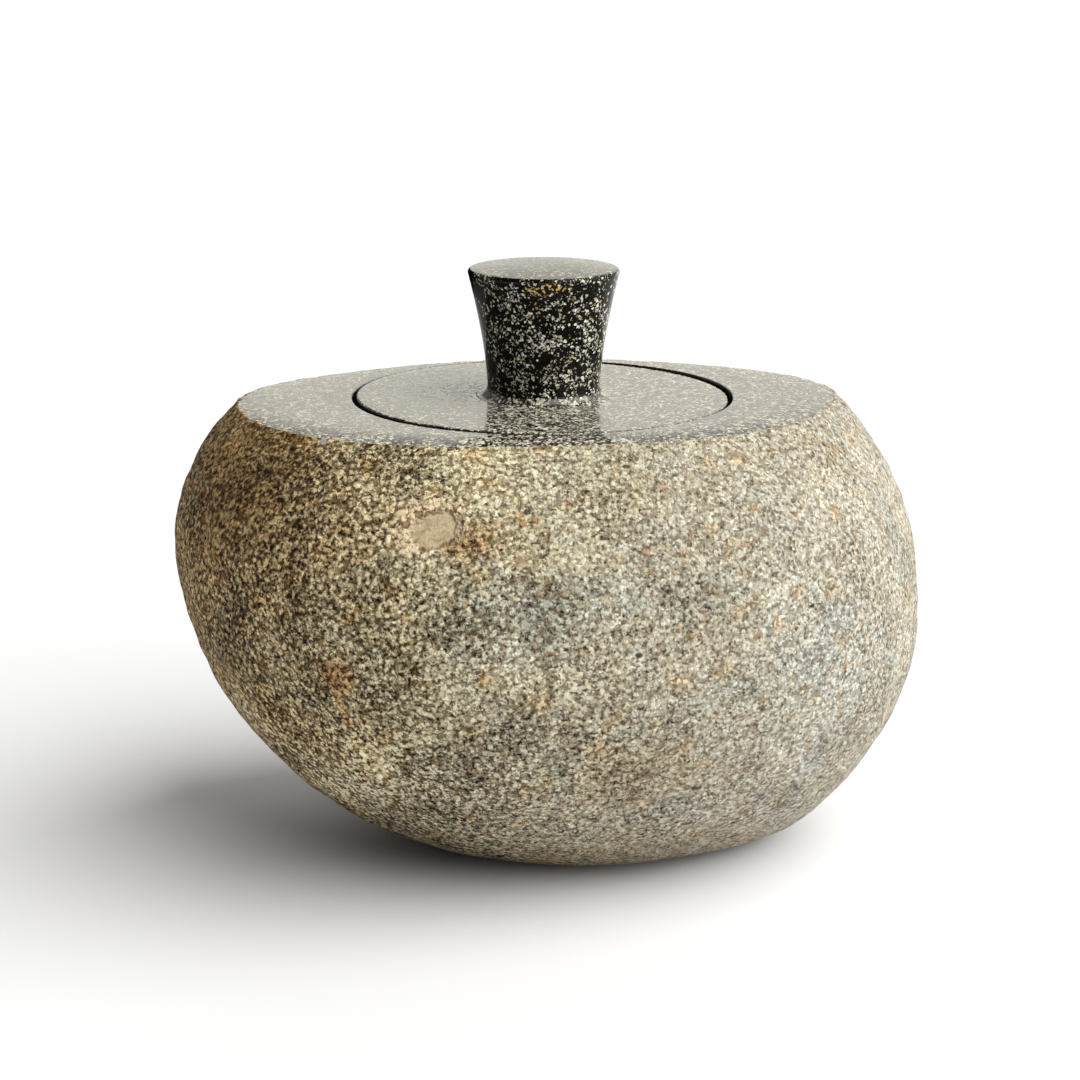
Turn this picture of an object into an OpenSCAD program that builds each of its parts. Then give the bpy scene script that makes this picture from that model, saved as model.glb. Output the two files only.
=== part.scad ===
// Go stone bowl: a river pebble hollowed out to hold the stones of one player.
//
// The pebble keeps its weathered skin, and is sawn flat and honed across the top.
// A flush stone lid sits in a stepped mouth, with a turned knob pinned to it.
// Four thin felt pads under the pebble keep it off the table.
//
// Millimetres. +X is the pebble's long side, -Y its front, +Z up.
// The origin is on the table, under the middle of the pebble.

/* [Pebble] */
// Length of the pebble, left to right
body_length = 160; // [140:1:180]
// Depth of the pebble, front to back
body_depth = 127; // [126:0.2:140]
// Height of the honed top face above the pebble's underside
body_height = 96; // [90:1:104]
// Squareness of the pebble seen from above, where 2 is an ellipse
plan_power = 2.04; // [2:0.02:2.2]
// How far the plan leans towards one diagonal
plan_lean = 0.046; // [0.03:0.002:0.05]
// Height of the shallow swellings in the skin, as a share of the radius
swelling = 0.027; // [0.01:0.001:0.03]

/* [Lid] */
// Diameter of the stepped recess that the lid drops into
recess_diameter = 81.6; // [76:0.2:82]
// Diameter of the mouth inside the recess
mouth_diameter = 72; // [64:0.5:73]
// Thickness of the lid's flush disc
lid_thickness = 7; // [6:0.5:9]
// Depth of the round spigot that centres the lid in the mouth
spigot_depth = 4; // [3:0.5:6]
// Open gap all round the disc
disc_gap = 0.9; // [0.4:0.1:1.2]
// Open gap all round the spigot
spigot_gap = 0.4; // [0.3:0.1:0.8]

/* [Knob] */
// Diameter of the knob at its rim
knob_rim_diameter = 32.4; // [28:0.2:36]
// Diameter of the knob at its neck
knob_neck_diameter = 24.2; // [20:0.2:26]
// Height of the knob from the lid to the middle of its crowned top
knob_height = 28.4; // [24:0.2:34]
// Radius of the hollow curve where the knob meets the lid
knob_foot_radius = 2.4; // [1.5:0.1:4]
// Diameter of the steel pin between the knob and the lid
dowel_diameter = 6; // [4:0.5:8]
// Length of that pin
dowel_length = 16; // [12:0.5:16]

/* [Hollow] */
// Thickness of stone under the hollow
floor_thickness = 15; // [12:1:20]
// Largest diameter of the hollow
belly_diameter = 94; // [84:1:96]
// Diameter of the flat floor of the hollow
floor_diameter = 56; // [40:1:64]

/* [Pads] */
// Diameter of a felt pad
pad_diameter = 12; // [8:1:13]
// Thickness of a felt pad
pad_thickness = 1.5; // [1:0.1:3]

/* [Hidden] */

$fn = 128;
eps = 0.01;

stone_skin = [0.60, 0.56, 0.49];
stone_honed = [0.30, 0.30, 0.29];
stone_polished = [0.12, 0.12, 0.12];
steel = [0.72, 0.73, 0.75];
felt = [0.16, 0.15, 0.14];

// Levels above the table.
underside_z = pad_thickness;
top_z = underside_z + body_height;
ledge_z = top_z - lid_thickness;
spigot_z = ledge_z - spigot_depth;
neck_z = spigot_z - 4;
floor_z = underside_z + floor_thickness;
belly_z = underside_z + 0.52 * body_height;

// The recess is nearer the back of the pebble than the front, and a touch to the left.
lid_x = -1.7;
lid_y = 4.2;

// The knob was bonded on by hand, a touch to the right of the lid's middle.
knob_x = lid_x + 0.3;

// Each of the pebble's four flanks is a curve in height:
// [reach at the underside, widest reach, level of the widest reach,
//  level where the crown would close, power below, power above].
// Levels are measured from the underside.
left_flank = [-20.5, -body_length / 2, 0.7 * body_height, 1.228 * body_height, 1.83, 2.04];
right_flank = [48, body_length / 2, 0.467 * body_height, 1.201 * body_height, 1.53, 2.33];
front_flank = [-23.5, -body_depth / 2, 0.54 * body_height, 1.119 * body_height, 1.65, 2.37];
back_flank = [31, body_depth / 2, 0.54 * body_height, 1.286 * body_height, 1.8, 1.81];

rings = 30;
ring_points = 64;

function flank(f, h) =
    h < f[2]
        ? f[0] + (f[1] - f[0]) * pow(1 - pow((f[2] - h) / f[2], f[4]), 1 / f[4])
        : f[1] * pow(1 - pow((h - f[2]) / (f[3] - f[2]), f[5]), 1 / f[5]);

function signed_pow(v, p) = sign(v) * pow(abs(v), p);

// Shallow diagonal swellings that turn as they rise, as on a water-worn pebble.
function swell(a, h) =
    1 + sin(2 * a) * (plan_lean + swelling * cos(3 * a - 135 + 115 * h / body_height));

// One ring of skin points at a height h above the underside.
function skin_ring(h) =
    let (
        left = flank(left_flank, h),
        right = flank(right_flank, h),
        front = flank(front_flank, h),
        back = flank(back_flank, h)
    )
    [
        for (i = [0 : ring_points - 1])
            let (a = 360 * i / ring_points, k = swell(a, h))
            [
                (left + right) / 2 + (right - left) / 2 * k * signed_pow(cos(a), 2 / plan_power),
                (front + back) / 2 + (back - front) / 2 * k * signed_pow(sin(a), 2 / plan_power),
                underside_z + h
            ]
    ];

// Ring levels crowd towards the underside and the top, where the skin turns fastest.
function ring_level(i) = body_height * (1 - cos(180 * i / rings)) / 2;

// The outer shape of the pebble, closed flat above and below.
module pebble() {
    points = [for (i = [0 : rings]) each skin_ring(ring_level(i))];
    side_faces = [
        for (i = [0 : rings - 1], j = [0 : ring_points - 1])
            let (
                k = (j + 1) % ring_points,
                low = i * ring_points,
                high = low + ring_points
            )
            each [
                [low + j, high + j, high + k],
                [low + j, high + k, low + k]
            ]
    ];
    floor_face = [for (j = [0 : ring_points - 1]) j];
    top_face = [for (j = [ring_points - 1 : -1 : 0]) rings * ring_points + j];
    polyhedron(points, concat(side_faces, [floor_face, top_face]));
}

// Half profile of everything cut out of the pebble: hollow, mouth and lid recess.
module hollow_profile() {
    mouth_r = mouth_diameter / 2;
    floor_r = floor_diameter / 2;
    belly_r = belly_diameter / 2;
    steps = 14;
    lower_wall = [
        for (i = [0 : steps])
            let (a = 90 * i / steps)
            [floor_r + (belly_r - floor_r) * sin(a), belly_z - (belly_z - floor_z) * cos(a)]
    ];
    upper_wall = [
        for (i = [1 : steps])
            let (a = 90 * i / steps)
            [mouth_r + (belly_r - mouth_r) * cos(a), belly_z + (neck_z - belly_z) * sin(a)]
    ];
    recess = [
        [mouth_r, ledge_z],
        [recess_diameter / 2, ledge_z],
        [recess_diameter / 2, top_z + 1],
        [0, top_z + 1]
    ];
    polygon(concat([[0, floor_z]], lower_wall, upper_wall, recess));
}

module bowl_body() {
    color(stone_skin)
    difference() {
        pebble();
        translate([lid_x, lid_y, 0])
            rotate_extrude()
                hollow_profile();
    }
}

// The blind hole for the dowel, measured from the top of the lid.
module dowel_hole(depth, up) {
    glue_line = 0.05;
    r = dowel_diameter / 2 + glue_line;
    translate([knob_x, lid_y, up ? top_z - eps : top_z - depth])
        cylinder(h = depth + eps, r = r);
}

module lid_disc() {
    disc_r = recess_diameter / 2 - disc_gap;
    spigot_r = mouth_diameter / 2 - spigot_gap;
    eased = 0.5;
    chamfer = 1;
    color(stone_honed)
    difference() {
        translate([lid_x, lid_y, 0])
            rotate_extrude()
                polygon([
                    [0, spigot_z],
                    [spigot_r - chamfer, spigot_z],
                    [spigot_r, spigot_z + chamfer],
                    [spigot_r, ledge_z],
                    [disc_r, ledge_z],
                    [disc_r, top_z - eased],
                    [disc_r - eased, top_z],
                    [0, top_z]
                ]);
        dowel_hole(dowel_length / 2, false);
    }
}

// Half profile of the knob, with its foot at height 0.
module knob_profile() {
    neck_r = knob_neck_diameter / 2;
    rim_r = knob_rim_diameter / 2;
    foot_r = knob_foot_radius;
    crown = 0.8;
    rim_round = 0.8;
    shoulder = knob_height - crown;
    widest = shoulder - rim_round;
    foot = [
        for (i = [0 : 6])
            let (a = 15 * i)
            [neck_r + foot_r - foot_r * sin(a), foot_r - foot_r * cos(a)]
    ];
    flare = [
        for (i = [1 : 12])
            let (s = i / 12)
            [neck_r + (rim_r - neck_r) * pow(s, 1.5), foot_r + (widest - foot_r) * s]
    ];
    rim = [
        for (i = [1 : 5])
            let (a = 18 * i)
            [rim_r - rim_round * (1 - cos(a)), widest + rim_round * sin(a)]
    ];
    crowned_top = [
        for (i = [1 : 8])
            let (s = 1 - i / 8)
            [(rim_r - rim_round) * s, shoulder + crown * (1 - s * s)]
    ];
    polygon(concat([[0, 0]], foot, flare, rim, crowned_top));
}

module lid_knob() {
    color(stone_polished)
    difference() {
        translate([knob_x, lid_y, top_z])
            rotate_extrude()
                knob_profile();
        dowel_hole(dowel_length / 2, true);
    }
}

// A plain steel pin, bonded half in the lid and half in the knob.
module knob_dowel() {
    chamfer = 0.5;
    r = dowel_diameter / 2;
    color(steel)
    translate([knob_x, lid_y, top_z - dowel_length / 2])
        rotate_extrude()
            polygon([
                [0, 0],
                [r - chamfer, 0],
                [r, chamfer],
                [r, dowel_length - chamfer],
                [r - chamfer, dowel_length],
                [0, dowel_length]
            ]);
}

// A pad at one corner of a rectangle on the pebble's flat underside.
module felt_pad(side_x, side_y) {
    middle = [10, 3];
    reach = [18, 12];
    color(felt)
    translate([middle[0] + side_x * reach[0], middle[1] + side_y * reach[1], 0])
        cylinder(h = pad_thickness, d = pad_diameter);
}

module felt_pad_1() { felt_pad(-1, -1); }
module felt_pad_2() { felt_pad(1, -1); }
module felt_pad_3() { felt_pad(1, 1); }
module felt_pad_4() { felt_pad(-1, 1); }

bowl_body();
lid_disc();
lid_knob();
knob_dowel();
felt_pad_1();
felt_pad_2();
felt_pad_3();
felt_pad_4();
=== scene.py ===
"""Looks of the go stone bowl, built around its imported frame. Lengths are in metres."""
import math

import bmesh
import bpy
import numpy as np
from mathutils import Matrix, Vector, noise

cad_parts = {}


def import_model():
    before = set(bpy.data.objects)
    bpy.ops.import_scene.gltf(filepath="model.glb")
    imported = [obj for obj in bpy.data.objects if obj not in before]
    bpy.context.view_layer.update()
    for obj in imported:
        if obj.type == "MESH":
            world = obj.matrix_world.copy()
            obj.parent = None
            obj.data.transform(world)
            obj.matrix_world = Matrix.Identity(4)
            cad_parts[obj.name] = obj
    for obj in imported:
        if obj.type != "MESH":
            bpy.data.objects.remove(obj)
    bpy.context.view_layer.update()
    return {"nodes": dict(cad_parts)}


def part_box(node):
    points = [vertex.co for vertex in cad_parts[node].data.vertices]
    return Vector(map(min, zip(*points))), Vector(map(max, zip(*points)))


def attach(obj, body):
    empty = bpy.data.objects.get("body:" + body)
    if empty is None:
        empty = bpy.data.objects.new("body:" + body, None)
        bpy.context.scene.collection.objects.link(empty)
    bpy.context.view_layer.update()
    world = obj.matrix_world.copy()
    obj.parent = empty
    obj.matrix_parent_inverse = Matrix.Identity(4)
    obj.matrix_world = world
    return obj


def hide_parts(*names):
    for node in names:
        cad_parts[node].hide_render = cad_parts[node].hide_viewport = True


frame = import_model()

MM = 0.001

# ---------------------------------------------------------------------------
# Places and sizes, from the frame
# ---------------------------------------------------------------------------

BODY_LO, BODY_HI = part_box("bowl_body")
LID_LO, LID_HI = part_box("lid_disc")
KNOB_LO, KNOB_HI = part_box("lid_knob")
DOWEL_LO, DOWEL_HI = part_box("knob_dowel")

UNDERSIDE = BODY_LO.z
TOP = BODY_HI.z
HEIGHT = TOP - UNDERSIDE
LID_X = (LID_LO.x + LID_HI.x) / 2
LID_Y = (LID_LO.y + LID_HI.y) / 2
LID_R = (LID_HI.x - LID_LO.x) / 2
DISC_GAP = 0.9 * MM
RECESS_R = LID_R + DISC_GAP
LEDGE = TOP - 7 * MM
SPIGOT = LID_LO.z
SPIGOT_R = 35.6 * MM
MOUTH_R = 36 * MM
NECK = SPIGOT - 4 * MM
BELLY_R = 47 * MM
BELLY = UNDERSIDE + 0.52 * HEIGHT
FLOOR_R = 28 * MM
FLOOR = UNDERSIDE + 15 * MM
HOLE_R = (DOWEL_HI.x - DOWEL_LO.x) / 2 + 0.05 * MM
KNOB_X = (KNOB_LO.x + KNOB_HI.x) / 2
KNOB_SHIFT = KNOB_X - LID_X

# The lid was ground flush in one position and now sits turned, so its face leans:
# a little proud at the left and a little low at the right.
LID_LEAN = 0.47 * MM
LEAN_X = math.cos(math.radians(178))
LEAN_Y = math.sin(math.radians(178))

# The pebble's flanks: reach at the underside, widest reach, then as shares of the
# height the level of the widest reach and of the closed crown, then the two powers.
LEFT = (-20.5 * MM, -80 * MM, 0.7, 1.228, 1.83, 2.04)
RIGHT = (48 * MM, 80 * MM, 0.467, 1.201, 1.53, 2.33)
FRONT = (-23.5 * MM, -63.5 * MM, 0.54, 1.119, 1.65, 2.37)
BACK = (31 * MM, 63.5 * MM, 0.54, 1.286, 1.8, 1.81)
PLAN_POWER = 2.04
PLAN_LEAN = 0.046
SWELLING = 0.027

AROUND = 416


# ---------------------------------------------------------------------------
# Mesh helpers
# ---------------------------------------------------------------------------

def ring_mesh(name, rings, start, end, materials, band_material=None):
    """A closed mesh of rings of points, capped at each end by a fan to one point."""
    rings = np.asarray(rings)
    count, around, _ = rings.shape
    points = np.concatenate([rings.reshape(-1, 3), [start, end]])
    first, last = count * around, count * around + 1
    faces, bands = [], []
    for i in range(count - 1):
        for j in range(around):
            k = (j + 1) % around
            low, high = i * around, (i + 1) * around
            faces.append((low + j, low + k, high + k, high + j))
            bands.append(i)
    top = (count - 1) * around
    for j in range(around):
        k = (j + 1) % around
        faces.append((first, k, j))
        bands.append(0)
        faces.append((last, top + j, top + k))
        bands.append(count - 2)
    mesh = bpy.data.meshes.new(name)
    mesh.from_pydata(points.tolist(), [], faces)
    for material in materials:
        mesh.materials.append(material)
    if band_material is not None:
        mesh.polygons.foreach_set("material_index", [band_material[b] for b in bands])
    tidy = bmesh.new()
    tidy.from_mesh(mesh)
    bmesh.ops.recalc_face_normals(tidy, faces=tidy.faces)
    tidy.to_mesh(mesh)
    tidy.free()
    mesh.polygons.foreach_set("use_smooth", [True] * len(mesh.polygons))
    piece = bpy.data.objects.new(name, mesh)
    bpy.context.scene.collection.objects.link(piece)
    return piece


def circle(radius, z, around, centre=(LID_X, LID_Y)):
    """One ring of points about the lid's axis, or about another centre."""
    a = np.arange(around) * 2 * math.pi / around
    return np.stack([centre[0] + radius * np.cos(a), centre[1] + radius * np.sin(a),
                     np.full(around, z)], -1)


def turned(name, profile, around, materials, centre=(LID_X, LID_Y)):
    """A piece turned about a vertical axis; the profile runs from axis to axis."""
    rings = [circle(r, z, around, centre) for r, z in profile[1:-1]]
    start = (centre[0], centre[1], profile[0][1])
    end = (centre[0], centre[1], profile[-1][1])
    return ring_mesh(name, rings, start, end, materials)


def arc(centre_r, centre_z, radius_r, radius_z, from_deg, to_deg, steps):
    """Points of an elliptical arc in a half profile, as (r, z)."""
    angles = np.radians(np.linspace(from_deg, to_deg, steps + 1))
    return [(centre_r + radius_r * math.cos(a), centre_z + radius_z * math.sin(a))
            for a in angles]


def line(r0, z0, r1, z1, steps):
    """Points of a straight run in a half profile, without its two ends."""
    return [(r0 + (r1 - r0) * i / steps, z0 + (z1 - z0) * i / steps)
            for i in range(1, steps)]


# ---------------------------------------------------------------------------
# The pebble's shape
# ---------------------------------------------------------------------------

def flank(f, h):
    """Reach of one flank at heights h above the underside."""
    base, widest, level, crown, low_power, high_power = f
    level, crown = level * HEIGHT, crown * HEIGHT
    below = np.clip((level - h) / level, 0, 1)
    above = np.clip((h - level) / (crown - level), 0, 1)
    lower = base + (widest - base) * (1 - below ** low_power) ** (1 / low_power)
    upper = widest * (1 - above ** high_power) ** (1 / high_power)
    return np.where(h < level, lower, upper)


def pebble_rings(h, around=AROUND):
    """Skin points at each height in h, as an array of rings."""
    h = np.asarray(h, float)[:, None]
    a = (np.arange(around) * 2 * math.pi / around)[None, :]
    left, right, front, back = (flank(f, h) for f in (LEFT, RIGHT, FRONT, BACK))
    turn = 3 * a - math.radians(135) + math.radians(115) * h / HEIGHT
    swell = 1 + np.sin(2 * a) * (PLAN_LEAN + SWELLING * np.cos(turn))
    power = 2 / PLAN_POWER
    c = np.sign(np.cos(a)) * np.abs(np.cos(a)) ** power
    s = np.sign(np.sin(a)) * np.abs(np.sin(a)) ** power
    x = (left + right) / 2 + (right - left) / 2 * swell * c
    y = (front + back) / 2 + (back - front) / 2 * swell * s
    return np.stack([x, y, UNDERSIDE + h + 0 * a], -1)


def smooth(low, high, value):
    """0 below low, 1 above high, and an eased step between."""
    t = np.clip((value - low) / (high - low), 0, 1)
    return t * t * (3 - 2 * t)


def pit(p, spacing, radius, depth, seed):
    """A scatter of small round pits: how deep the skin is at p, in millimetres."""
    q = p / spacing + Vector((seed, seed, seed))
    distances, points = noise.voronoi(q)
    if noise.cell(points[0] * 7.3) < 0.15:
        return 0.0
    share = distances[0] * spacing / radius
    return depth * (1 - share * share) ** 2 if share < 1 else 0.0


def relief(p):
    """How far the weathered skin stands off the ideal pebble at p, all in millimetres."""
    lumps = 0.5 * noise.noise(p / 26) + 0.3 * noise.noise(p / 11 + Vector((5, 3, 1)))
    waves = 0.2 * noise.noise(p / 4.6) + 0.15 * noise.noise(p / 2.3 + Vector((9, 2, 4)))
    pits = pit(p, 10, 1.6, 0.6, 3.1) + pit(p, 6, 1.1, 0.4, 8.7)
    return lumps + waves - pits


SKIN_RINGS = 156
# Marks on the front of the skin, as (x, height above the table) in millimetres.
INCLUSION = (-22.5, 82.8)
INCLUSION_SIZE = (5.2, 3.4)
INCLUSION_TILT = math.radians(17)
MARKS = {
    "inclusion": INCLUSION,
    "rust": (-43, 52.6),
    "shoulder": (-62, 92),
    "cool": (-6, 66),
    "quartz": (-45.8, 96.3),
    "peach": (-5.4, 77.2),
    "pale": (54, 50),
    "dusky": (17, 30),
    # Lighter low on the left: painted light standing in for light thrown up from the floor.
    "painted_fill_light": (-46, 26),
}


def skin_point(rings, x, z):
    """The point of the front skin nearest to a place given by x and height."""
    flat = rings.reshape(-1, 3)
    front = flat[flat[:, 1] < 0]
    gap = (front[:, 0] - x * MM) ** 2 + (front[:, 2] - z * MM) ** 2
    return Vector(front[gap.argmin()])


def displaced(rings):
    """The skin with its relief: full on the flanks, none at the ground-flat underside."""
    across = np.roll(rings, -1, 1) - np.roll(rings, 1, 1)
    upward = np.gradient(rings, axis=0)
    normal = np.cross(across, upward)
    normal /= np.linalg.norm(normal, axis=2, keepdims=True)
    centre = np.array(skin_point(rings, *INCLUSION))
    height = rings[:, :, 2] - UNDERSIDE
    keep = smooth(0, 4 * MM, height)
    offset = np.zeros(height.shape)
    for i in range(rings.shape[0]):
        for j in range(rings.shape[1]):
            offset[i, j] = relief(Vector(rings[i, j] / MM)) * MM
    away = np.linalg.norm(rings - centre, axis=2)
    calm = smooth(3.5 * MM, 7.5 * MM, away)
    lip = 0.22 * MM * np.exp(-((away - 6.2 * MM) / (1.3 * MM)) ** 2)
    offset = offset * (0.25 + 0.75 * calm) + lip
    # Grains have broken away along the sawn edge, by more in some places than others.
    near_top = np.clip(1 - (TOP - rings[:, :, 2]) / (1.8 * MM), 0, 1)
    edge = [max(0.0, noise.noise(Vector(point / MM) / 2.4) + 0.1) for point in rings[-1]]
    offset = offset - 1.2 * MM * near_top * np.array(edge)[None, :]
    moved = rings + normal * (offset * keep)[:, :, None]
    moved[:, :, 2] = np.clip(moved[:, :, 2], UNDERSIDE, TOP)
    return moved


# The broken arris of the sawn edge, and how far and how deep hands have worn the face.
ARRIS = 0.85 * MM
WORN_FALL = 0.78 * MM
WORN_REACH = 10 * MM
RIM_EASED = 0.35 * MM
INNER_CORNER = 0.5 * MM
# Rings of the underside from its middle out, and of the honed face from its edge in.
UNDERSIDE_SHARES = (0.2, 0.4, 0.6, 0.8, 0.92, 1.0)
FACE_SHARES = (0.02, 0.06, 0.12, 0.2, 0.3, 0.4, 0.5, 0.6, 0.7, 0.8, 0.93, 0.98, 1.0)
ROLL_SHARES = (0.35, 0.7, 1.0)


def rolled_edge(edge):
    """Rings that roll the chipped top of the skin over on to the honed face."""
    inward = np.array([LID_X, LID_Y, 0]) - edge
    inward[:, 2] = 0
    inward /= np.linalg.norm(inward, axis=1, keepdims=True)
    chips = [0.45 + 1.1 * abs(noise.noise(Vector(point / MM) / 1.7)) for point in edge]
    worn = inward * ARRIS * np.array(chips)[:, None] * 1.6
    rings = []
    for turn in ROLL_SHARES:
        ring = edge + worn * (1 - math.cos(turn * math.pi / 2))
        ring[:, 2] = TOP - ARRIS + ARRIS * math.sin(turn * math.pi / 2)
        rings.append(ring)
    return rings


def wear_down(rings, edge, start):
    """Let the honed face fall away a little towards its front edge."""
    fronts = np.clip(0.5 - 0.7 * (edge[:, 1] - LID_Y) / (BODY_HI.y - LID_Y), 0, 1)
    for ring in rings:
        in_from_edge = np.linalg.norm((ring - start)[:, :2], axis=1)
        climbed = np.clip((ring[:, 2] - (TOP - ARRIS)) / ARRIS, 0, 1)
        fall = WORN_FALL * fronts * np.clip(1 - in_from_edge / WORN_REACH, 0, 1) ** 2
        ring[:, 2] -= fall * climbed


def inside_profile():
    """Half profile of the recess, the ledge, the mouth and the hollow, going down."""
    eased, corner = RIM_EASED, INNER_CORNER
    profile = arc(RECESS_R + eased, TOP - eased, eased, eased, 90, 180, 4)[1:]
    profile += line(RECESS_R, TOP - eased, RECESS_R, LEDGE + corner, 5)
    profile += arc(RECESS_R - corner, LEDGE + corner, corner, corner, 0, -90, 4)
    profile += line(RECESS_R - corner, LEDGE, MOUTH_R + corner, LEDGE, 4)
    profile += arc(MOUTH_R + corner, LEDGE - corner, corner, corner, 90, 180, 4)
    profile += line(MOUTH_R, LEDGE - corner, MOUTH_R, NECK, 5)
    upper = [(MOUTH_R + (BELLY_R - MOUTH_R) * math.cos(a), BELLY + (NECK - BELLY) * math.sin(a))
             for a in np.radians(np.linspace(90, 0, 13))]
    lower = [(FLOOR_R + (BELLY_R - FLOOR_R) * math.cos(a), BELLY - (BELLY - FLOOR) * math.sin(a))
             for a in np.radians(np.linspace(0, 90, 15))]
    return profile + upper + lower[1:] + line(FLOOR_R, FLOOR, 0, FLOOR, 5)


def bowl_body(skin, honed):
    """The hollowed pebble as one closed shell, from the underside round to the hollow."""
    steps = np.arange(1, SKIN_RINGS + 1) / SKIN_RINGS
    heights = (HEIGHT - ARRIS) * (1 - np.cos(math.pi * steps)) / 2
    flanks = displaced(pebble_rings(heights))
    base = pebble_rings([0.0])[0]
    middle = base.mean(axis=0)
    underside = [middle + (base - middle) * s for s in UNDERSIDE_SHARES]
    edge = flanks[-1]
    rounded = rolled_edge(edge)
    rim = circle(RECESS_R + RIM_EASED, TOP, AROUND)
    face = [rounded[-1] + (rim - rounded[-1]) * s for s in FACE_SHARES]
    wear_down(rounded + face, edge, rounded[-1])
    inside = [circle(r, z, AROUND) for r, z in inside_profile()]
    rings = underside + list(flanks) + rounded + face + inside
    ground = len(underside) - 1
    weathered = ground + len(flanks) + len(rounded) - 1
    bands = [0 if ground <= i <= weathered else 1 for i in range(len(rings) - 1)]
    start = (middle[0], middle[1], UNDERSIDE)
    end = (LID_X, LID_Y, FLOOR)
    return ring_mesh("bowl_stone", rings, start, end, [skin, honed], bands)


# ---------------------------------------------------------------------------
# Lid, knob and pads
# ---------------------------------------------------------------------------

def lean(x, y):
    """How much the lid's leaning face stands above its nominal level."""
    return LID_LEAN * ((x - LID_X) * LEAN_X + (y - LID_Y) * LEAN_Y) / LID_R


def lid_disc(honed):
    """The flush disc, its spigot and the dowel's hole, with the disc's face leaning."""
    eased, chamfer = 0.45 * MM, 1 * MM
    hole_floor = DOWEL_LO.z
    profile = [(0, SPIGOT)]
    profile += line(0, SPIGOT, SPIGOT_R - chamfer, SPIGOT, 8)
    profile += arc(SPIGOT_R - chamfer, SPIGOT + chamfer, chamfer, chamfer, -90, 0, 5)
    profile += line(SPIGOT_R, SPIGOT + chamfer, SPIGOT_R, LEDGE, 3)
    profile += [(SPIGOT_R, LEDGE)]
    profile += line(SPIGOT_R, LEDGE, LID_R - eased, LEDGE, 3)
    profile += arc(LID_R - eased, LEDGE + eased, eased, eased, -90, 0, 4)
    profile += line(LID_R, LEDGE + eased, LID_R, TOP - eased, 5)
    profile += arc(LID_R - eased, TOP - eased, eased, eased, 0, 90, 6)
    profile += line(LID_R - 0.6 * MM, TOP, HOLE_R, TOP, 18)
    profile += [(HOLE_R, TOP)]
    profile += line(HOLE_R, TOP, HOLE_R, hole_floor, 3)
    profile += [(HOLE_R, hole_floor), (0, hole_floor)]
    piece = turned("lid_stone", profile, 288, [honed])
    for v in piece.data.vertices:
        away = math.hypot(v.co.x - LID_X, v.co.y - LID_Y)
        v.co.x += KNOB_SHIFT * (1 - float(smooth(HOLE_R, 15 * MM, away)))
        share = (v.co.z - LEDGE) / (TOP - LEDGE)
        if share > 0 and away > HOLE_R * 1.2:
            v.co.z += lean(v.co.x, v.co.y) * share
    return piece


KNOB_NECK_R = 12.1 * MM
KNOB_FOOT_R = 2.4 * MM
KNOB_FOOT_TOP = TOP + KNOB_FOOT_R
KNOB_CROWN = 0.8 * MM
KNOB_SHOULDER = KNOB_HI.z - KNOB_CROWN
HONED_FOOT = 1.4 * MM


def knob_profile():
    """Half profile of the knob: the dowel's hole, the foot, the flare and the crown."""
    rim_r = (KNOB_HI.x - KNOB_LO.x) / 2
    rim_round = 0.8 * MM
    widest = KNOB_SHOULDER - rim_round
    foot_middle = KNOB_NECK_R + KNOB_FOOT_R
    hole_top = DOWEL_HI.z
    profile = [(0, hole_top), (HOLE_R, hole_top)]
    profile += line(HOLE_R, hole_top, HOLE_R, TOP, 3)
    profile += [(HOLE_R, TOP)]
    profile += line(HOLE_R, TOP, foot_middle, TOP, 5)
    profile += arc(foot_middle, KNOB_FOOT_TOP, KNOB_FOOT_R, KNOB_FOOT_R, -90, -180, 12)
    flare_steps = 40
    for i in range(1, flare_steps + 1):
        s = i / flare_steps
        r = KNOB_NECK_R + (rim_r - KNOB_NECK_R) * s ** 1.5
        profile.append((r, KNOB_FOOT_TOP + (widest - KNOB_FOOT_TOP) * s))
    profile += arc(rim_r - rim_round, widest, rim_round, rim_round, 0, 90, 8)[1:]
    crown_steps = 16
    for i in range(1, crown_steps + 1):
        s = 1 - i / crown_steps
        profile.append(((rim_r - rim_round) * s, KNOB_SHOULDER + KNOB_CROWN * (1 - s * s)))
    return profile


def lid_knob(polished, honed, dull_shaded_crown):
    """The knob. Its flared side is polished, its foot honed like the lid, its crown duller and
    painted darker as shade, with fewer and dimmer flecks.
    """
    piece = turned("knob_stone", knob_profile(), 224, [polished, honed, dull_shaded_crown], (KNOB_X, LID_Y))
    for face in piece.data.polygons:
        if face.center.z < TOP + HONED_FOOT:
            face.material_index = 1
        elif face.normal.z > 0.9 and face.center.z > KNOB_SHOULDER - 0.1 * MM:
            face.material_index = 2
    for v in piece.data.vertices:
        share = 1 - (v.co.z - TOP) / (KNOB_FOOT_TOP - TOP)
        if share > 0 and math.hypot(v.co.x - KNOB_X, v.co.y - LID_Y) > HOLE_R * 1.2:
            v.co.z += lean(v.co.x, v.co.y) * share
    return piece


def felt_pad(node, felt):
    """A felt pad with soft, fuzzy edges, where its node is."""
    lo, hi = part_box(node)
    radius = (hi.x - lo.x) / 2
    soft = 0.3 * MM
    profile = [(0, lo.z)]
    profile += line(0, lo.z, radius - soft, lo.z, 6)
    profile += arc(radius - soft, lo.z + soft, soft, soft, -90, 0, 4)
    profile += arc(radius - soft, hi.z - soft, soft, soft, 0, 90, 4)
    profile += line(radius - soft, hi.z, 0, hi.z, 6)
    profile += [(0, hi.z)]
    centre = ((lo.x + hi.x) / 2, (lo.y + hi.y) / 2)
    piece = turned("felt_" + node[-1], profile, 96, [felt], centre)
    for v in piece.data.vertices:
        out = Vector((v.co.x - centre[0], v.co.y - centre[1], 0))
        if out.length > radius * 0.9:
            fuzz = 0.09 * MM * noise.noise(v.co / (0.9 * MM))
            v.co += out.normalized() * (fuzz - 0.05 * MM)
    return piece


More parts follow.
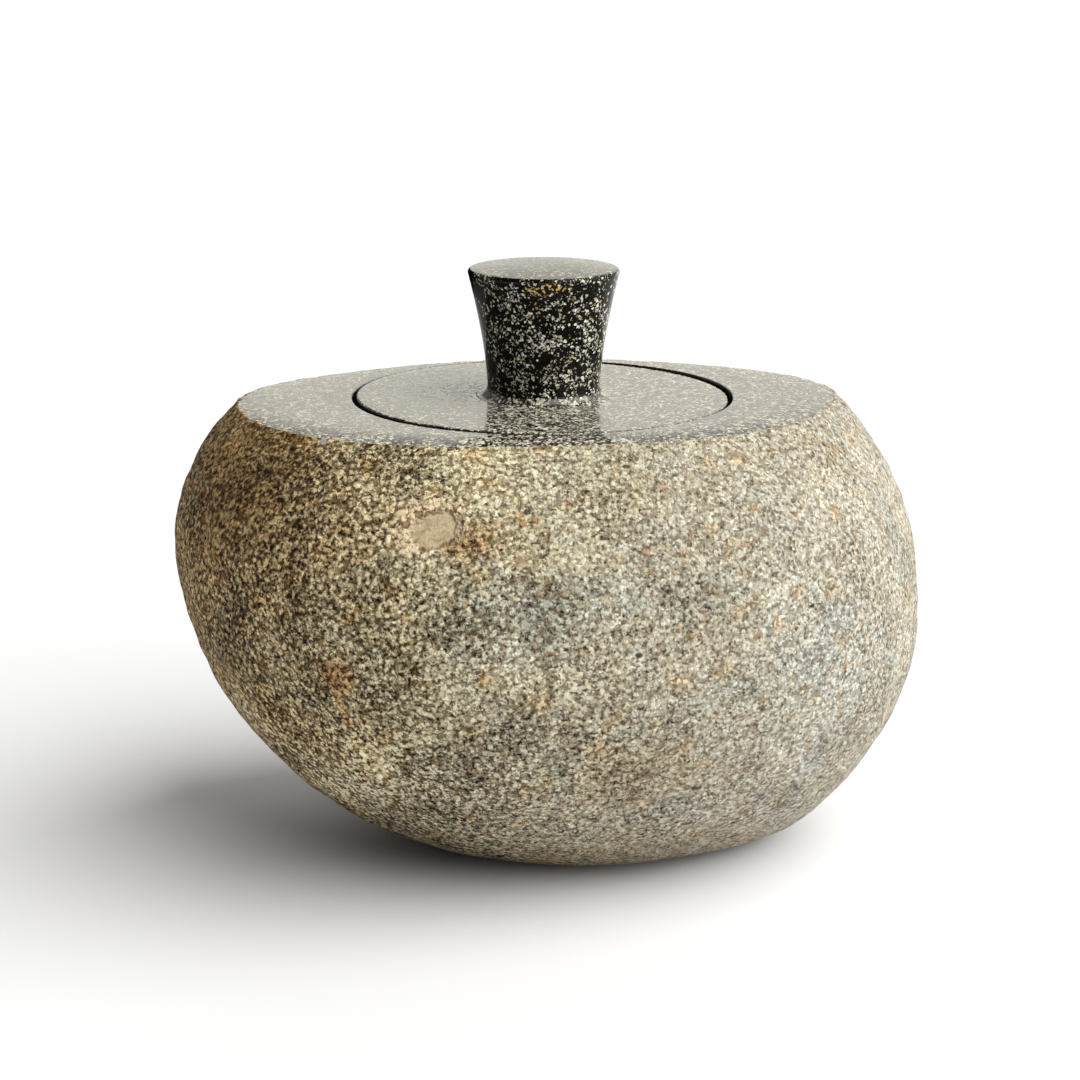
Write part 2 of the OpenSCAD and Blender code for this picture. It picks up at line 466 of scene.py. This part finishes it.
# ---------------------------------------------------------------------------
# Materials: every pattern is worked out in millimetres from object coordinates
# ---------------------------------------------------------------------------

class Nodes:
    """A material's node tree, with one short call for each node."""

    def __init__(self, name):
        self.material = bpy.data.materials.new(name)
        self.material.use_nodes = True
        self.tree = self.material.node_tree
        self.shader = self.tree.nodes["Principled BSDF"]
        coords = self.tree.nodes.new("ShaderNodeTexCoord")
        self.mm = self.vector("SCALE", coords.outputs["Object"], scale=1000.0)

    def add(self, kind, settings=None, **inputs):
        node = self.tree.nodes.new(kind)
        for name, value in (settings or {}).items():
            setattr(node, name, value)
        for name, value in inputs.items():
            self.feed(node.inputs[name], value)
        return node

    def feed(self, socket, value):
        if isinstance(value, bpy.types.NodeSocket):
            self.tree.links.new(value, socket)
        else:
            socket.default_value = value

    def vector(self, operation, a, b=None, scale=None):
        node = self.add("ShaderNodeVectorMath", {"operation": operation})
        self.feed(node.inputs[0], a)
        if b is not None:
            self.feed(node.inputs[1], b)
        if scale is not None:
            node.inputs["Scale"].default_value = scale
        return node.outputs["Value" if operation in ("LENGTH", "DOT_PRODUCT") else "Vector"]

    def math(self, operation, a, b=0.0, clamp=False):
        node = self.add("ShaderNodeMath", {"operation": operation, "use_clamp": clamp})
        self.feed(node.inputs[0], a)
        self.feed(node.inputs[1], b)
        return node.outputs[0]

    def step(self, value, low, high, out_low=0.0, out_high=1.0):
        """An eased step of value between low and high."""
        node = self.add("ShaderNodeMapRange", {"interpolation_type": "SMOOTHSTEP"})
        for name, v in zip(("Value", "From Min", "From Max", "To Min", "To Max"),
                           (value, low, high, out_low, out_high)):
            self.feed(node.inputs[name], v)
        return node.outputs["Result"]

    def noise(self, size, detail=2.0, where=None, roughness=0.5):
        """Smooth noise whose features are size millimetres across."""
        node = self.add("ShaderNodeTexNoise")
        self.feed(node.inputs["Vector"], where or self.mm)
        node.inputs["Scale"].default_value = 1 / size
        node.inputs["Detail"].default_value = detail
        node.inputs["Roughness"].default_value = roughness
        return node

    def cells(self, size, where=None, feature="F1"):
        """Grains about size millimetres across, each with its own random colour."""
        node = self.add("ShaderNodeTexVoronoi", {"feature": feature})
        self.feed(node.inputs["Vector"], where or self.mm)
        node.inputs["Scale"].default_value = 1 / size
        return node

    def split(self, colour):
        return self.add("ShaderNodeSeparateColor", Color=colour).outputs

    def ramp(self, value, stops, interpolation="LINEAR"):
        node = self.add("ShaderNodeValToRGB")
        node.color_ramp.interpolation = interpolation
        self.feed(node.inputs["Fac"], value)
        points = node.color_ramp.elements
        while len(points) < len(stops):
            points.new(0.5)
        for point, (place, colour) in zip(points, stops):
            point.position = place
            point.color = (*colour, 1)
        return node.outputs["Color"]

    def mix(self, share, a, b, blend="MIX"):
        node = self.add("ShaderNodeMix", {"data_type": "RGBA", "blend_type": blend})
        self.feed(node.inputs["Factor"], share)
        self.feed(node.inputs[6], a)
        self.feed(node.inputs[7], b)
        return node.outputs[2]

    def moved(self, where, shift):
        return self.vector("ADD", where, shift)

    def bumped(self, height, distance_mm, strength):
        bump = self.add("ShaderNodeBump")
        bump.inputs["Strength"].default_value = strength
        bump.inputs["Distance"].default_value = distance_mm * MM
        self.feed(bump.inputs["Height"], height)
        self.feed(self.shader.inputs["Normal"], bump.outputs["Normal"])


def rgb(r, g, b):
    return (r, g, b, 1.0)


def warped(n, size, reach):
    """Object coordinates pushed about, so that grains lose their straight sides."""
    jitter = n.vector("SUBTRACT", n.noise(size, 1.0).outputs["Color"], (0.5, 0.5, 0.5))
    return n.vector("ADD", n.mm, n.vector("SCALE", jitter, scale=reach * 2))


def spot(n, place, size, tilt=0.0, ragged=0.0, ragged_size=2.2):
    """Distance from a place on the front, as a share of its half sizes across and up."""
    node = n.add("ShaderNodeMapping", {"vector_type": "TEXTURE"}, Vector=n.mm)
    node.inputs["Location"].default_value = Vector(place) / MM
    node.inputs["Rotation"].default_value = (0.0, -tilt, 0.0)
    node.inputs["Scale"].default_value = (size[0], max(size) * 1.3, size[1])
    jitter = n.vector("SUBTRACT", n.noise(ragged_size, 2.0).outputs["Color"], (0.5, 0.5, 0.5))
    return n.vector("ADD", node.outputs[0], n.vector("SCALE", jitter, scale=ragged * 2))


# Grain colours of the skin, from brown mica through grey to cream quartz.
SKIN_GRAINS = (
    (0.00, (0.185, 0.158, 0.118)),
    (0.22, (0.290, 0.262, 0.210)),
    (0.50, (0.395, 0.370, 0.310)),
    (0.75, (0.490, 0.466, 0.396)),
    (0.92, (0.590, 0.566, 0.494)),
    (1.00, (0.670, 0.650, 0.575)),
)
# Painted shade for the open pits: near black.
PIT_SHADE = rgb(0.014, 0.009, 0.005)
# The iron stain across the pebble, from its left end to its right.
STAIN = (
    (0.06, (0.98, 0.76, 0.45)),
    (0.36, (1.00, 0.94, 0.75)),
    (0.56, (1.00, 0.97, 0.87)),
    (0.90, (1.01, 1.00, 0.98)),
)
# Broad patches: half sizes across and up, tilt, raggedness and its size, the shares of
# the size between which the patch fades out, its strength and its tint.
PATCHES = {
    # The upper left end is browner, and also darkened as painted shade where the light from the
    # right does not reach.
    "shoulder": ((17.0, 22.0), 0.0, 0.5, 9.0, (0.4, 1.3), 1.0, (0.66, 0.60, 0.53)),
    "cool": ((24.0, 11.0), 0.1, 0.6, 7.0, (0.5, 1.2), 0.9, (0.84, 0.90, 1.00)),
    "pale": ((20.0, 24.0), 0.0, 0.5, 9.0, (0.4, 1.3), 1.0, (1.04, 1.08, 1.13)),
    "dusky": ((17.0, 9.0), 0.2, 0.6, 7.0, (0.4, 1.3), 1.0, (0.94, 0.88, 0.81)),
    # Painted light: the low left is lifted as if lit from the floor.
    "painted_fill_light": ((22.0, 16.0), 0.0, 0.5, 9.0, (0.4, 1.4), 1.0, (1.42, 1.42, 1.40)),
}


def skin_ground(n, fine, coarse, weather):
    """Packed grains of the skin, with larger feldspar grains and a few rusty ones."""
    kind = n.split(fine.outputs["Color"])[0]
    pick = n.math("ADD", kind, n.math("MULTIPLY", weather, 0.5))
    colour = n.ramp(pick, SKIN_GRAINS)
    big = n.split(coarse.outputs["Color"])[0]
    feldspar = n.step(big, 0.84, 0.87, 0.0, 0.5)
    colour = n.mix(feldspar, colour, rgb(0.58, 0.55, 0.48))
    orange = n.math("MULTIPLY", n.step(big, 0.50, 0.51), n.step(big, 0.53, 0.54, 1.0, 0.0))
    return n.mix(n.math("MULTIPLY", orange, 0.5), colour, rgb(0.38, 0.25, 0.135))


def tinted(n, share, colour, tint):
    """The colour multiplied by a tint, by a share."""
    return n.mix(share, colour, n.mix(1.0, colour, rgb(*tint), "MULTIPLY"))


def skin_stains(n, colour, places, x, z):
    """Broad colour: iron to the left, grey and rusty clouds, the named stains and patches of
    painted light and shade, and painted shade towards the bottom.
    """
    wander = n.noise(20.0, 3.0, n.moved(n.mm, (7.0, 0.0, 50.0))).outputs["Fac"]
    along = n.math("ADD", n.math("MULTIPLY", x, 1 / 160), n.math("MULTIPLY", wander, 0.35))
    along = n.math("ADD", along, n.math("MULTIPLY", z, -1 / 800))
    tint = n.ramp(n.math("ADD", along, 0.433), STAIN)
    colour = n.mix(1.0, colour, tint, "MULTIPLY")
    grey = n.noise(12.0, 4.0, n.moved(n.mm, (90.0, 4.0, 0.0))).outputs["Fac"]
    colour = tinted(n, n.step(grey, 0.48, 0.64, 0.0, 0.7), colour, (0.88, 0.93, 1.00))
    rust = n.noise(4.5, 4.0, n.moved(n.mm, (3.0, 80.0, 0.0))).outputs["Fac"]
    colour = tinted(n, n.step(rust, 0.54, 0.70, 0.0, 0.65), colour, (0.98, 0.80, 0.58))
    for name, (size, tilt, ragged, ragged_size, fade, strength, tint) in PATCHES.items():
        away = n.vector("LENGTH", spot(n, places[name], size, tilt, ragged, ragged_size))
        colour = tinted(n, n.step(away, *fade, strength, 0.0), colour, tint)
    # Painted shade: darker and browner towards the bottom, most on the left and middle.
    foot = n.math("MULTIPLY", n.step(z, 0.0, 22.0, 1.0, 0.0), n.step(x, 10.0, 50.0, 1.0, 0.3))
    colour = tinted(n, foot, colour, (0.50, 0.44, 0.35))
    wide = spot(n, places["inclusion"], INCLUSION_SIZE, INCLUSION_TILT, 0.55, 2.6)
    halo = n.vector("LENGTH", n.vector("ADD", wide, (0.45, 0.0, -0.40)))
    cream = n.mix(0.7, colour, rgb(0.60, 0.48, 0.33))
    colour = n.mix(n.step(halo, 1.1, 1.9, 1.0, 0.0), colour, cream)
    tail = n.vector("LENGTH", n.vector("ADD", wide, (-1.2, 0.0, 1.4)))
    colour = tinted(n, n.step(tail, 0.3, 1.7, 0.7, 0.0), colour, (0.82, 0.58, 0.36))
    rusty = n.vector("LENGTH", spot(n, places["rust"], (4.6, 3.4), 0.6, 0.9))
    return tinted(n, n.step(rusty, 0.2, 1.5, 0.8, 0.0), colour, (0.84, 0.52, 0.32))


def skin_inclusion(n, colour, places):
    """The smooth tan inclusion, lying in a broken dark outline, and two single grains."""
    local = spot(n, places["inclusion"], INCLUSION_SIZE, INCLUSION_TILT, 0.32, 1.5)
    away = n.vector("LENGTH", local)
    streaks = n.add("ShaderNodeMapping", Vector=local)
    streaks.inputs["Scale"].default_value = (1.0, 1.0, 3.2)
    mottle = n.ramp(n.noise(0.7, 4.0, streaks.outputs[0], 0.65).outputs["Fac"],
                    ((0.30, (0.26, 0.19, 0.11)), (0.46, (0.44, 0.355, 0.23)),
                     (0.68, (0.55, 0.465, 0.32))))
    body = n.step(away, 0.78, 1.10, 1.0, 0.0)
    outline = n.math("MULTIPLY", n.step(away, 0.80, 1.00), n.step(away, 1.00, 1.25, 1.0, 0.0))
    broken = n.step(n.noise(1.6, 2.0).outputs["Fac"], 0.40, 0.60)
    outline = n.math("MULTIPLY", outline, broken)
    colour = n.mix(n.math("MULTIPLY", body, 0.92), colour, mottle)
    colour = n.mix(n.math("MULTIPLY", outline, 0.35), colour, rgb(0.16, 0.10, 0.055))
    quartz = n.vector("LENGTH", spot(n, places["quartz"], (0.9, 0.7), 0.0, 0.4))
    colour = n.mix(n.step(quartz, 0.5, 1.1, 0.9, 0.0), colour, rgb(0.62, 0.60, 0.56))
    peach = n.vector("LENGTH", spot(n, places["peach"], (1.5, 1.2), 0.4, 0.3))
    colour = n.mix(n.step(peach, 0.7, 1.1, 0.8, 0.0), colour, rgb(0.54, 0.39, 0.25))
    return colour, body, outline


def grit_shade_and_light(n, colour, level, x):
    """Painted shade and light on the grit: the colour darkened in the hollows as shade and lifted
    on its peaks, lifted more to the left as painted fill light.
    """
    # Painted shade in the hollows of the grit.
    hollow = n.mix(1.0, colour, rgb(0.11, 0.072, 0.045), "MULTIPLY")
    # Painted fill light: the peaks are lifted more at the left end, away from the light.
    lift = n.mix(n.step(x, -60.0, 50.0), rgb(2.20, 2.21, 2.18), rgb(1.42, 1.42, 1.43))
    high = n.mix(1.0, colour, lift, "MULTIPLY")
    return n.mix(n.step(level, 0.35, 0.55), hollow, high)


def grit_level(n, grit, weather, x, z):
    """The grit's height field, higher to the right and at the top, so that fewer hollows there get
    the painted shade and those parts come out lighter and less rough.
    """
    smoother = n.step(x, -60.0, 70.0, -0.032, 0.080)
    upper = n.math("MULTIPLY", n.step(z, 62.0, 92.0), n.step(x, -45.0, 0.0, 0.0, 0.035))
    smoother = n.math("ADD", smoother, upper)
    return n.math("ADD", grit, n.math("ADD", smoother, n.math("MULTIPLY", weather, 0.22)))


def open_pits(n):
    """Pits where a grain has fallen out, as short ragged dashes."""
    dashes = n.add("ShaderNodeMapping", Vector=warped(n, 0.8, 0.6))
    dashes.inputs["Rotation"].default_value = (0.0, 0.5, 0.0)
    dashes.inputs["Scale"].default_value = (0.75, 1.0, 1.8)
    holes = n.cells(4.8, dashes.outputs[0])
    hole_kind = n.split(holes.outputs["Color"])[0]
    reach = n.step(hole_kind, 0.25, 1.0, 0.02, 0.21)
    return n.step(n.math("DIVIDE", holes.outputs["Distance"], reach), 0.55, 1.05, 1.0, 0.0)


def skin_relief(n, fine, grit, gap, pits):
    """Height of the skin in millimetres: domed grains, grit, lumps, gaps and pits."""
    raised = n.split(fine.outputs["Color"])[2]
    dome = n.math("SUBTRACT", 1.0, n.math("POWER", fine.outputs["Distance"], 2.0))
    height = n.math("MULTIPLY", dome, 0.12)
    height = n.math("ADD", height, n.math("MULTIPLY", raised, 0.10))
    height = n.math("ADD", height, n.math("MULTIPLY", grit, 1.3))
    lumps = n.math("MULTIPLY", n.noise(3.0, 2.0).outputs["Fac"], 1.3)
    height = n.math("ADD", height, lumps)
    height = n.math("SUBTRACT", height, n.step(gap, 0.0, 0.35, 0.0, 0.25))
    return n.math("SUBTRACT", height, n.math("MULTIPLY", pits, 0.5))


def skin_material(places):
    """The weathered skin: domed grains and grit, with painted shade in the crevices between them.
    """
    n = Nodes("pebble_skin")
    p = warped(n, 0.6, 0.16)
    fine = n.cells(0.56, p)
    coarse = n.cells(1.15, n.moved(p, (13.0, 7.0, 3.0)))
    x, y, z = n.add("ShaderNodeSeparateXYZ", Vector=n.mm).outputs
    weather = n.math("SUBTRACT", n.noise(15.0, 4.0, roughness=0.6).outputs["Fac"], 0.5)
    colour = skin_ground(n, fine, coarse, weather)
    colour = skin_stains(n, colour, places, x, z)
    grit = n.noise(0.95, 4.0, n.mm, 0.75).outputs["Fac"]
    level = grit_level(n, grit, weather, x, z)
    colour = grit_shade_and_light(n, colour, level, x)
    gap = n.math("ADD", coarse.outputs["Distance"], n.math("MULTIPLY", level, -0.8))
    # Painted shade in the gaps between the coarse grains, deeper to the left than to the right.
    between = n.math("MULTIPLY", n.step(gap, 0.08, 0.30), n.step(x, -50.0, 50.0, 0.9, 0.35))
    colour = tinted(n, between, colour, (0.30, 0.22, 0.15))
    pits = open_pits(n)
    # The open pits are painted near black as shade, a little less dark to the right.
    colour = n.mix(n.math("MULTIPLY", pits, n.step(x, 0.0, 60.0, 0.85, 0.6)), colour, PIT_SHADE)
    colour, body, outline = skin_inclusion(n, colour, places)
    n.feed(n.shader.inputs["Base Color"], colour)
    rough_kind = n.split(fine.outputs["Color"])[1]
    n.feed(n.shader.inputs["Roughness"], n.step(rough_kind, 0.0, 1.0, 0.6, 0.95))
    n.shader.inputs["Specular IOR Level"].default_value = 0.12
    # The inclusion is almost smooth, and its outline lies a little lower.
    height = skin_relief(n, fine, grit, gap, pits)
    height = n.math("MULTIPLY", height, n.math("SUBTRACT", 1.0, n.math("MULTIPLY", body, 0.8)))
    height = n.math("SUBTRACT", height, n.math("MULTIPLY", outline, 0.15))
    n.bumped(height, 1.0, 1.0)
    return n.material


HONED_GROUND = (0.013, 0.0125, 0.0095)
POLISHED_GROUND = (0.003, 0.0028, 0.0019)


def ring_gap_shade(n):
    """Where painted shade darkens the open ring between lid and body: on the recess wall and the
    disc's edge.
    """
    x, y, z = n.add("ShaderNodeSeparateXYZ", Vector=n.mm).outputs
    flat = n.add("ShaderNodeCombineXYZ", X=n.math("SUBTRACT", x, LID_X / MM),
                 Y=n.math("SUBTRACT", y, LID_Y / MM))
    away = n.vector("LENGTH", flat.outputs[0])
    outer, inner = RECESS_R / MM, LID_R / MM
    ring = n.math("MULTIPLY", n.step(away, inner - 0.22, inner - 0.04),
                  n.step(away, outer + 0.1, outer + 0.4, 1.0, 0.0))
    return n.math("MULTIPLY", ring, n.step(z, LEDGE / MM - 0.1, LEDGE / MM + 0.4, 0.0, 0.95))


def stone_flecks(n, p, grain, share, cloud, kind):
    """Where the pale flecks are: whole grains, and fainter small ones between them."""
    threads = n.cells(grain * 0.64, n.moved(p, (5.0, 11.0, 17.0)))
    thread_kind = n.split(threads.outputs["Color"])[0]
    pick = n.math("ADD", kind, n.math("MULTIPLY", cloud, 0.65))
    white = n.step(pick, 1 - share - 0.02, 1 - share + 0.03)
    small = n.math("ADD", thread_kind, n.math("MULTIPLY", cloud, 0.55))
    small = n.step(small, 1 - share * 0.62, 1 - share * 0.50)
    return n.math("MAXIMUM", white, n.math("MULTIPLY", small, 0.6))


def gold_flecks(n, gold_at, white, third):
    """Single gold-coloured grains everywhere, and a patch of them at gold_at."""
    gold = n.step(third, 0.99, 0.995, 0.0, 0.6)
    if gold_at is None:
        return gold
    near = n.vector("LENGTH", spot(n, gold_at, (4.4, 1.3), 0.1, 0.35))
    flecks = n.math("MAXIMUM", white, n.step(third, 0.80, 0.84))
    patch = n.math("MULTIPLY", n.step(near, 0.5, 1.3, 1.0, 0.0), flecks)
    return n.math("MAXIMUM", gold, n.math("MULTIPLY", patch, 0.85))


def pinholes(n, p):
    """Tiny open holes that the honing has left."""
    cells = n.cells(3.2, n.moved(p, (21.0, 0.0, 2.0)))
    kind = n.split(cells.outputs["Color"])[0]
    reach = n.step(kind, 0.55, 1.0, 0.01, 0.11)
    return n.step(n.math("DIVIDE", cells.outputs["Distance"], reach), 0.6, 1.0, 1.0, 0.0)


def dark_stone(name, grain, matrix, fleck, share, roughness, mirror, gold_at=None):
    """Cut faces of the same stone: a smooth near-black ground and dull pale flecks."""
    n = Nodes(name)
    p = warped(n, 0.6, 0.30)
    kind, shade, third = n.split(n.cells(grain, p).outputs["Color"])[:3]
    # Flecks gather in some clouds and thin out in others. At the knob's left end they thin out and
    # the gloss goes, as painted shade on the side turned from the light.
    cloud = n.math("SUBTRACT", n.noise(3.6, 3.0).outputs["Fac"], 0.5)
    if gold_at is not None:
        x = n.add("ShaderNodeSeparateXYZ", Vector=n.mm).outputs[0]
        left_end = KNOB_LO.x / MM
        cloud = n.math("ADD", cloud, n.step(x, left_end, left_end + 9, -0.2, 0.0))
        mirror = n.step(x, left_end + 1, left_end + 8, 0.0, mirror)
    white = stone_flecks(n, p, grain, share, cloud, kind)
    bright = n.step(shade, 0.0, 1.0, 0.3, 1.0)
    ground = n.mix(n.step(third, 0.3, 1.0), rgb(*matrix), rgb(*(v * 2.2 + 0.002 for v in matrix)))
    fleck_colour = n.mix(bright, rgb(*(v * 0.25 for v in fleck)), rgb(*fleck))
    colour = n.mix(white, ground, fleck_colour)
    colour = n.mix(gold_flecks(n, gold_at, white, third), colour, rgb(0.66, 0.43, 0.13))
    # Painted shade: the open ring between lid and body is painted near black.
    colour = n.mix(ring_gap_shade(n), colour, rgb(0.005, 0.004, 0.003))
    n.feed(n.shader.inputs["Base Color"], colour)
    n.shader.inputs["IOR"].default_value = 1.5
    # The flecks do not take a polish, so they stay dull where the ground mirrors.
    n.feed(n.shader.inputs["Specular IOR Level"], n.step(white, 0.0, 1.0, mirror, 0.25))
    scatter = n.noise(14.0, 3.0, n.moved(n.mm, (2.0, 4.0, 8.0))).outputs["Fac"]
    rough = n.step(scatter, 0.3, 0.7, roughness * 0.85, roughness * 1.2)
    n.feed(n.shader.inputs["Roughness"], n.math("ADD", rough, n.math("MULTIPLY", white, 0.45)))
    n.bumped(n.math("SUBTRACT", 1.0, pinholes(n, p)), 0.05, 0.5)
    return n.material


def felt_material():
    """Pressed charcoal wool: short crossing fibres over a mottled ground."""
    n = Nodes("charcoal_felt")
    long_way = n.add("ShaderNodeMapping", Vector=n.mm)
    long_way.inputs["Scale"].default_value = (0.35, 2.6, 2.6)
    cross_way = n.add("ShaderNodeMapping", Vector=n.mm)
    cross_way.inputs["Rotation"].default_value = (0.0, 0.0, 1.1)
    cross_way.inputs["Scale"].default_value = (0.35, 2.6, 2.6)
    first = n.noise(0.7, 3.0, long_way.outputs[0]).outputs["Fac"]
    second = n.noise(0.7, 3.0, cross_way.outputs[0]).outputs["Fac"]
    fibres = n.math("MAXIMUM", first, second)
    colour = n.ramp(fibres, ((0.4, (0.018, 0.017, 0.016)), (0.62, (0.05, 0.047, 0.043)),
                             (0.75, (0.11, 0.105, 0.095))))
    n.feed(n.shader.inputs["Base Color"], colour)
    n.shader.inputs["Roughness"].default_value = 0.95
    n.shader.inputs["Sheen Weight"].default_value = 0.4
    n.bumped(fibres, 0.2, 0.6)
    return n.material


def steel_material():
    """A drawn stainless pin: fine rings of drawing marks."""
    n = Nodes("drawn_steel")
    x, y, z = n.add("ShaderNodeSeparateXYZ", Vector=n.mm).outputs
    along = n.add("ShaderNodeCombineXYZ", X=n.math("MULTIPLY", x, 0.2),
                  Y=n.math("MULTIPLY", y, 0.2), Z=n.math("MULTIPLY", z, 6.0)).outputs[0]
    marks = n.noise(0.6, 3.0, along).outputs["Fac"]
    n.feed(n.shader.inputs["Base Color"], n.ramp(marks, ((0.3, (0.50, 0.50, 0.50)),
                                                         (0.7, (0.66, 0.66, 0.67)))))
    n.shader.inputs["Metallic"].default_value = 1.0
    n.feed(n.shader.inputs["Roughness"], n.step(marks, 0.3, 0.7, 0.28, 0.42))
    n.bumped(marks, 0.02, 0.4)
    return n.material


# ---------------------------------------------------------------------------
# Stage, light and camera
# ---------------------------------------------------------------------------

def floor():
    """A plain pale floor under everything."""
    reach = 6.0
    mesh = bpy.data.meshes.new("floor")
    corners = [(-reach, -reach, 0), (reach, -reach, 0), (reach, reach, 0), (-reach, reach, 0)]
    mesh.from_pydata(corners, [], [(0, 1, 2, 3)])
    n = Nodes("pale_floor")
    n.feed(n.shader.inputs["Base Color"],
           n.ramp(n.noise(300.0, 2.0).outputs["Fac"],
                  ((0.0, (0.80, 0.815, 0.885)), (1.0, (0.81, 0.825, 0.895)))))
    n.shader.inputs["Roughness"].default_value = 1.0
    n.shader.inputs["Specular IOR Level"].default_value = 0.0
    mesh.materials.append(n.material)
    plane = bpy.data.objects.new("floor", mesh)
    bpy.context.scene.collection.objects.link(plane)


WARM = (1.0, 0.98, 0.90)
KEY_TOWARDS = (0.694, -0.324, 0.643)
KEY_STRENGTH = 4.9
KEY_SPREAD_DEG = 80
# How the room's brightness steps along each axis: from, to, brightness before and after.
ROOM_FALLS = {
    "Y": (-0.5, 0.5, 0.06, 1.30),
    "X": (-0.30, -0.08, 0.22, 1.0),
    "Z": (0.35, 0.9, 1.0, 0.5),
}


def room_brightness(tree, direction):
    """The product of the steps along the three axes."""
    total = None
    for axis, values in ROOM_FALLS.items():
        fall = tree.nodes.new("ShaderNodeMapRange")
        fall.interpolation_type = "SMOOTHSTEP"
        for name, value in zip(("From Min", "From Max", "To Min", "To Max"), values):
            fall.inputs[name].default_value = value
        tree.links.new(direction.outputs[axis], fall.inputs["Value"])
        if total is None:
            total = fall.outputs["Result"]
        else:
            product = tree.nodes.new("ShaderNodeMath")
            product.operation = "MULTIPLY"
            tree.links.new(total, product.inputs[0])
            tree.links.new(fall.outputs["Result"], product.inputs[1])
            total = product.outputs[0]
    return total


def world():
    """A bright wall behind, dimmer room to the left and above, dark towards the front."""
    scene_world = bpy.data.worlds.new("studio")
    bpy.context.scene.world = scene_world
    scene_world.use_nodes = True
    tree = scene_world.node_tree
    background = tree.nodes["Background"]
    coords = tree.nodes.new("ShaderNodeTexCoord")
    direction = tree.nodes.new("ShaderNodeSeparateXYZ")
    tree.links.new(coords.outputs["Generated"], direction.inputs[0])
    rays = tree.nodes.new("ShaderNodeLightPath")
    seen = tree.nodes.new("ShaderNodeMix")
    seen.inputs["B"].default_value = 1.1
    tree.links.new(rays.outputs["Is Camera Ray"], seen.inputs["Factor"])
    tree.links.new(room_brightness(tree, direction), seen.inputs["A"])
    tree.links.new(seen.outputs["Result"], background.inputs["Strength"])
    background.inputs["Color"].default_value = (*WARM, 1.0)


def key_light(towards, strength, spread_deg):
    """One wide soft light, far away, so that the whole floor is lit evenly."""
    light = bpy.data.lights.new("key", "SUN")
    light.energy = strength
    light.angle = math.radians(spread_deg)
    light.color = WARM
    lamp = bpy.data.objects.new("key", light)
    lamp.rotation_euler = Vector(towards).to_track_quat("Z", "Y").to_euler()
    bpy.context.scene.collection.objects.link(lamp)


def camera():
    """The photograph's view: nearly level, a little above the lid, from the front."""
    distance = 0.620
    elevation = math.radians(11.25)
    aim_below = math.radians(2.88)
    lens = 96.0
    lens_left = 0.5 * MM
    data = bpy.data.cameras.new("view")
    data.lens = lens
    data.sensor_width = 36.0
    data.clip_start = 0.01
    eye = bpy.data.objects.new("view", data)
    eye.location = (LID_X - lens_left, LID_Y - distance * math.cos(elevation),
                    TOP + distance * math.sin(elevation))
    eye.rotation_euler = (math.pi / 2 - elevation - aim_below, 0, 0)
    bpy.context.scene.collection.objects.link(eye)
    bpy.context.scene.camera = eye


def finished(piece, body, slot, *nodes):
    """Say which body a piece rides on and the nodes that it stands for; its slot is not used."""
    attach(piece, body)
    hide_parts(*nodes)


# ---------------------------------------------------------------------------
# Build
# ---------------------------------------------------------------------------

camera()
floor()
world()
key_light(KEY_TOWARDS, KEY_STRENGTH, KEY_SPREAD_DEG)
bpy.context.scene.view_settings.view_transform = "Standard"

ideal_skin = pebble_rings(np.linspace(0.3, 1, 300) * HEIGHT)
marks = {name: skin_point(ideal_skin, *place) for name, place in MARKS.items()}
skin = skin_material(marks)
gold_at = (KNOB_X + 0.6 * MM, LID_Y - 16 * MM, KNOB_HI.z - 3.0 * MM)
honed = dark_stone("honed_dark_stone", 0.56, HONED_GROUND, (0.68, 0.65, 0.555), 0.29, 0.11, 0.5)
polished = dark_stone("polished_dark_stone", 0.44, POLISHED_GROUND, (0.74, 0.72, 0.62),
                      0.14, 0.10, 0.10, gold_at)
# The crown: duller than the lid, with fewer and dimmer flecks as painted shade, so the knob's top
# is no lighter than the lid.
dull_shaded_crown = dark_stone("dull_shaded_crown_stone", 0.56, HONED_GROUND, (0.52, 0.50, 0.43), 0.24, 0.19, 0.28)
felt = felt_material()
steel = steel_material()

finished(bowl_body(skin, honed), "bowl", "pebble_stone", "bowl_body")
finished(lid_disc(honed), "lid", "honed_stone", "lid_disc")
finished(lid_knob(polished, honed, dull_shaded_crown), "lid", "polished_stone", "lid_knob")
for number in "1234":
    node = "felt_pad_" + number
    finished(felt_pad(node, felt), "bowl", "pad_felt", node)
for slot in frame["nodes"]["knob_dowel"].material_slots:
    slot.material = steel
